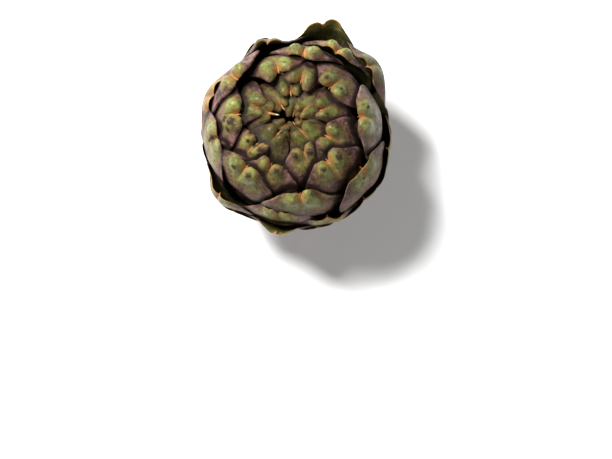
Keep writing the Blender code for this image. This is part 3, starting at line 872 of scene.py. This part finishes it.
def skin_group():
    """The bracts' skin as a node group. It takes the shares painted on the mesh, the place on the skin and the
    place in space. Purple flesh turns olive and then green where the green mask is high and the veins, which
    run along the bract, allow it, and back towards purple in painted shade. Over that come mottling, grain,
    pale bloom, the rust streak behind the notch, painted shade along older bracts' edges and in the crevices
    between them, painted light and shade on single bracts, the dry rim and scars."""
    group = bpy.data.node_groups.new("bract_skin", "ShaderNodeTree")
    taken = dict(Masks="Color", Scar="Float", ShadeAndTone="Color", Purple="Float", Lay="Vector", Place="Vector",
                 Flesh="Color", Shade="Color", Body="Color", Tip="Color")
    given_out = dict(Color="Color", Roughness="Float", Coat="Float", Height="Float")
    for way, sockets in (("INPUT", taken), ("OUTPUT", given_out)):
        for name, kind in sockets.items():
            group.interface.new_socket(name=name, in_out=way, socket_type="NodeSocket" + kind)
    add, calc, blend, grade, scaled, noise = node_tools(group)
    given = group.nodes.new("NodeGroupInput").outputs
    place = given["Place"]
    green, rust, bloom = add("ShaderNodeSeparateColor", {0: given["Masks"]}).outputs[:3]
    painted_edge_shade, light, dry = add("ShaderNodeSeparateColor", {0: given["ShadeAndTone"]}).outputs[:3]
    cloud = noise(place, 150.0, 4.0)
    fleck = noise(place, 900.0, 2.0)
    grain = noise(place, 430.0, 6.0, 0.78)
    veins = noise(scaled(given["Lay"], (1.0, 0.07, 1.0)), 14.0, 4.0, 0.6)
    fine_veins = noise(scaled(given["Lay"], (1.0, 0.05, 1.0)), 40.0, 2.0)

    flesh = blend(grade(cloud, 0.38, 0.66), given["Flesh"], given["Shade"])
    olive = calc("ADD", green, calc("MULTIPLY", calc("SUBTRACT", veins, 0.5), 0.95))
    olive = calc("SUBTRACT", olive, calc("MULTIPLY", calc("SUBTRACT", given["Purple"], 0.5), 0.6))
    # Painted shade along older bracts' edges turns the skin back towards purple.
    olive = calc("SUBTRACT", olive, calc("MULTIPLY", painted_edge_shade, 0.30))
    colour = blend(grade(olive, 0.05, 0.42), flesh, given["Body"])
    colour = blend(grade(olive, 0.45, 0.90), colour, given["Tip"])
    colour = blend(grade(cloud, 0.48, 0.70, 0.0, 0.50), colour, given["Shade"])
    colour = blend(grade(noise(place, 420.0, 3.0), 0.55, 0.72, 0.0, 0.40), colour, given["Shade"])
    colour = blend(grade(fine_veins, 0.54, 0.76, 0.0, 0.04), colour, BLOOM)
    leafy = calc("MULTIPLY", grade(noise(place, 230.0, 5.0, 0.65), 0.48, 0.66), grade(olive, 0.25, 0.70))
    colour = blend(calc("MULTIPLY", leafy, 0.60), colour, LEAF_GREEN)
    colour = blend(grade(noise(place, 120.0, 5.0, 0.62), 0.52, 0.68, 0.0, 0.40), colour, RUDDY)
    colour = blend(grade(grain, 0.50, 0.36, 0.0, 0.70), colour, DARK_GRAIN)
    colour = blend(grade(grain, 0.53, 0.66, 0.0, 0.42), colour, PALE_GRAIN)
    colour = blend(grade(fine_veins, 0.50, 0.30, 0.0, 0.45), colour, given["Shade"])
    colour = blend(grade(veins, 0.46, 0.30, 0.0, 0.40), colour, given["Shade"])

    bloom_share = calc("MULTIPLY", bloom, grade(noise(place, 320.0, 3.0), 0.30, 0.62))
    colour = blend(bloom_share, colour, BLOOM)
    rust_share = calc("MULTIPLY", rust, grade(noise(place, 420.0), 0.20, 0.56))
    rust_share = calc("MULTIPLY", rust_share, grade(veins, 0.32, 0.62, 0.60, 1.20))
    colour = blend(grade(rust_share, 0.04, 0.40, 0.0, 0.68), colour, RUST_HALO)
    colour = blend(grade(rust_share, 0.30, 0.75, 0.0, 0.9), colour, RUST)
    colour = blend(calc("MULTIPLY", grade(bloom, 0.75, 0.9), rust), colour, SPINE_TIP)
    colour = blend(grade(fleck, 0.62, 0.70, 0.0, 0.55), colour, FLECK)
    # Painted shade: near black along older bracts' edges and in the crevices between bracts.
    crevice_shade = calc("MULTIPLY", painted_edge_shade, grade(noise(place, 260.0), 0.20, 0.60, 0.55, 1.0))
    colour = blend(grade(crevice_shade, 0.10, 0.75, 0.0, 0.95), colour, CREVICE_SHADE)
    # Painted light and shade: a low light channel darkens the skin towards near black.
    colour = blend(grade(light, 0.0, 1.0, 0.72, 0.0), colour, DEEP_SHADE)
    dry_share = calc("MULTIPLY", dry, grade(noise(place, 240.0), 0.25, 0.50))
    colour = blend(grade(dry_share, 0.15, 0.60, 0.0, 0.9), colour, blend(fleck, DRY_DARK, DRY_PALE))
    scarred = grade(noise(place, 620.0, 5.0, 0.7), 0.30, 0.60, 0.45, 1.15)
    scar_share = calc("MULTIPLY", given["Scar"], scarred)
    colour = blend(grade(scar_share, 0.10, 0.60, 0.0, 0.75), colour, SCAR_RIM)
    colour = blend(grade(scar_share, 0.38, 0.82, 0.0, 0.92), colour, SCAR_HEART)

    speckle = calc("ADD", fleck, calc("MULTIPLY", cloud, 0.5))
    roughness = calc("ADD", grade(speckle, 0.5, 1.0, 0.34, 0.56), calc("MULTIPLY", given["Scar"], 0.35))
    waxy = calc("SUBTRACT", green, calc("ADD", painted_edge_shade, given["Scar"]))
    fine = calc("ADD", calc("MULTIPLY", fine_veins, 0.35), calc("MULTIPLY", grain, 0.7))
    out = add("NodeGroupOutput", {
        "Color": colour,
        "Roughness": roughness,
        "Coat": grade(waxy, 0.55, 0.95, 0.0, 0.20),
        "Height": calc("ADD", calc("MULTIPLY", veins, 0.6), fine),
    })
    out.is_active_output = True
    return group


SKIN_GROUP = skin_group()


def bract_material(name, flesh, shade, body, tip):
    """A skin of the shared kind in its own colours: purple flesh, dark mottling, olive body and green tip."""
    material = bpy.data.materials.new(name)
    material.use_nodes = True
    tree = material.node_tree
    shader = tree.nodes["Principled BSDF"]
    add = node_tools(tree)[0]
    painted = add("ShaderNodeAttribute", attribute_type="GEOMETRY", attribute_name="skin").outputs
    read_shade_and_tone = add("ShaderNodeAttribute", attribute_type="GEOMETRY", attribute_name="shade_and_tone").outputs
    skin = add("ShaderNodeGroup", node_tree=SKIN_GROUP)
    for key, value in (("Masks", painted["Color"]), ("Scar", painted["Alpha"]), ("ShadeAndTone", read_shade_and_tone["Color"]),
                       ("Purple", read_shade_and_tone["Alpha"]), ("Lay", add("ShaderNodeUVMap", uv_map="lay").outputs[0]),
                       ("Place", add("ShaderNodeTexCoord").outputs["Object"])):
        tree.links.new(value, skin.inputs[key])
    for key, colour in (("Flesh", flesh), ("Shade", shade), ("Body", body), ("Tip", tip)):
        skin.inputs[key].default_value = (*colour, 1.0)
    for key, socket in (("Color", "Base Color"), ("Roughness", "Roughness"), ("Coat", "Coat Weight")):
        tree.links.new(skin.outputs[key], shader.inputs[socket])
    bump = add("ShaderNodeBump", {"Strength": 0.7, "Distance": 0.0007, "Height": skin.outputs["Height"]})
    tree.links.new(bump.outputs[0], shader.inputs["Normal"])
    shader.inputs["Coat Roughness"].default_value = 0.30
    shader.inputs["Specular IOR Level"].default_value = 0.09
    return material


def make_bracts(kind, numbers, columns, rows, material):
    """Each bract of one kind with its spine, as a piece of its own that stands for its solid. The head leans a
    little to one side by the square of the height above its middle."""
    for n in numbers:
        label = f"{n - FIRST_BRACT + 1:02d}"
        points, faces, masks, shade_and_tone, lay, spine = lay_bract(n, columns, rows, LOOKS[kind])
        faces += [[corner + len(points) for corner in face] for face in spine[1]]
        body = (points, masks, shade_and_tone, lay)
        points, masks, shade_and_tone, lay = (np.vstack(pair) for pair in zip(body, (spine[0], *spine[2:])))
        points[:, 0] += CROWN_LEAN * np.maximum(points[:, 2] / INNER_RISE, 0.0) ** 2
        points[:, 2] += HEAD_CENTRE_Z
        piece = make_piece(f"{kind}_scale_{label}", points, faces, masks, lay, material, shade_and_tone)
        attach(piece, "root")
        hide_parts(f"{kind}_bract_{label}")


crown_skin = bract_material(
    "crown_bract_skin", flesh=(0.208, 0.098, 0.094), shade=(0.037, 0.017, 0.018), body=(0.165, 0.110, 0.038),
    tip=(0.195, 0.218, 0.050))
make_bracts("crown", range(LAST_INNER + 1, LAST_CROWN + 1), 80, 84, crown_skin)


# ---------------------------------------------------------------------------------------------------------
# The inner bracts. They are the youngest and smallest, packed in the sunken middle of the crown, greener than
# the rest and with the longest spines for their size.

inner_skin = bract_material(
    "inner_bract_skin", flesh=(0.150, 0.074, 0.030), shade=(0.030, 0.016, 0.008), body=(0.160, 0.124, 0.025),
    tip=(0.180, 0.200, 0.034))
make_bracts("inner", range(FIRST_BRACT, LAST_INNER + 1), 64, 72, inner_skin)


# ---------------------------------------------------------------------------------------------------------
# The outer bracts. They stand round the side of the head, thinner and broader, with purple faces, green tips
# and a dry tan rim on the older ones. Some stand away from the head and show their green inner face.

outer_skin = bract_material(
    "outer_bract_skin", flesh=(0.195, 0.092, 0.088), shade=(0.042, 0.020, 0.021), body=(0.170, 0.122, 0.036),
    tip=(0.195, 0.195, 0.048))
make_bracts("outer", range(LAST_CROWN + 1, LAST_OUTER + 1), 80, 84, outer_skin)


# ---------------------------------------------------------------------------------------------------------
# The base bracts. They are the oldest and shortest, round the top of the stem under the head, dark purple and
# drying at their points.

base_skin = bract_material(
    "base_bract_skin", flesh=(0.170, 0.080, 0.072), shade=(0.070, 0.034, 0.030), body=(0.180, 0.130, 0.068),
    tip=(0.200, 0.190, 0.070))
make_bracts("base", range(LAST_OUTER + 1, LAST_BRACT + 1), 52, 52, base_skin)


# ---------------------------------------------------------------------------------------------------------
# The studio. A plain white floor, one large soft light up and to the left, a weak fill, and a camera above the
# crown, a little to the front.

FLOOR_SIZE = 6.0
FLOOR_WHITE = (0.92, 0.92, 0.92, 1.0)
HEART_SHARE = 0.6  # height that the lights and the camera are turned to, as a share of the head's
KEY_PLACE = (-0.55, 0.42, 1.02)
KEY_SIZE = 0.40
KEY_POWER = 43.5
FILL_PLACE = (0.7, -0.6, 0.9)
FILL_SIZE = 0.6
FILL_POWER = 6.0
SKY_STRENGTH = 0.06
CAMERA_ELEVATION = math.radians(75.5)
CAMERA_DISTANCE = 1.0
LENS = 105.2
AIM_RIGHT = 0.0046
AIM_DOWN = 0.054

floor_mesh = bpy.data.meshes.new("floor")
corner = FLOOR_SIZE / 2
corners = [(-corner, -corner, 0), (corner, -corner, 0), (corner, corner, 0), (-corner, corner, 0)]
floor_mesh.from_pydata(corners, [], [(0, 1, 2, 3)])
floor = bpy.data.objects.new("floor", floor_mesh)
bpy.context.scene.collection.objects.link(floor)
paper = bpy.data.materials.new("white_paper")
paper.use_nodes = True
paper_shader = paper.node_tree.nodes["Principled BSDF"]
paper_shader.inputs["Base Color"].default_value = FLOOR_WHITE
paper_shader.inputs["Roughness"].default_value = 0.8
floor_mesh.materials.append(paper)


def add_softbox(name, place, target, size, power):
    """A square soft light at a place, turned to a target."""
    light = bpy.data.lights.new(name, "AREA")
    light.shape = "SQUARE"
    light.size = size
    light.energy = power
    lamp = bpy.data.objects.new(name, light)
    lamp.location = place
    lamp.rotation_euler = (Vector(target) - Vector(place)).to_track_quat("-Z", "Y").to_euler()
    bpy.context.scene.collection.objects.link(lamp)


heart = Vector((0.0, 0.0, HEART_SHARE * cad_box[1][2]))
add_softbox("key_softbox", KEY_PLACE, heart, KEY_SIZE, KEY_POWER)
add_softbox("fill_softbox", FILL_PLACE, heart, FILL_SIZE, FILL_POWER)

world = bpy.data.worlds.new("studio")
world.use_nodes = True
sky = world.node_tree.nodes["Background"]
sky.inputs["Color"].default_value = (1.0, 1.0, 1.0, 1.0)
sky.inputs["Strength"].default_value = SKY_STRENGTH
bpy.context.scene.world = world
bpy.context.scene.view_settings.view_transform = "Standard"

camera_data = bpy.data.cameras.new("camera")
camera_data.lens = LENS
camera_data.clip_end = 20.0
camera = bpy.data.objects.new("camera", camera_data)
back = Vector((0.0, -math.cos(CAMERA_ELEVATION), math.sin(CAMERA_ELEVATION)))
image_up = Vector((0.0, math.sin(CAMERA_ELEVATION), math.cos(CAMERA_ELEVATION)))
camera.location = heart + CAMERA_DISTANCE * back
aim = heart - AIM_DOWN * image_up + AIM_RIGHT * Vector((1.0, 0.0, 0.0))
camera.rotation_euler = (aim - camera.location).to_track_quat("-Z", "Y").to_euler()
bpy.context.scene.collection.objects.link(camera)
bpy.context.scene.camera = camera
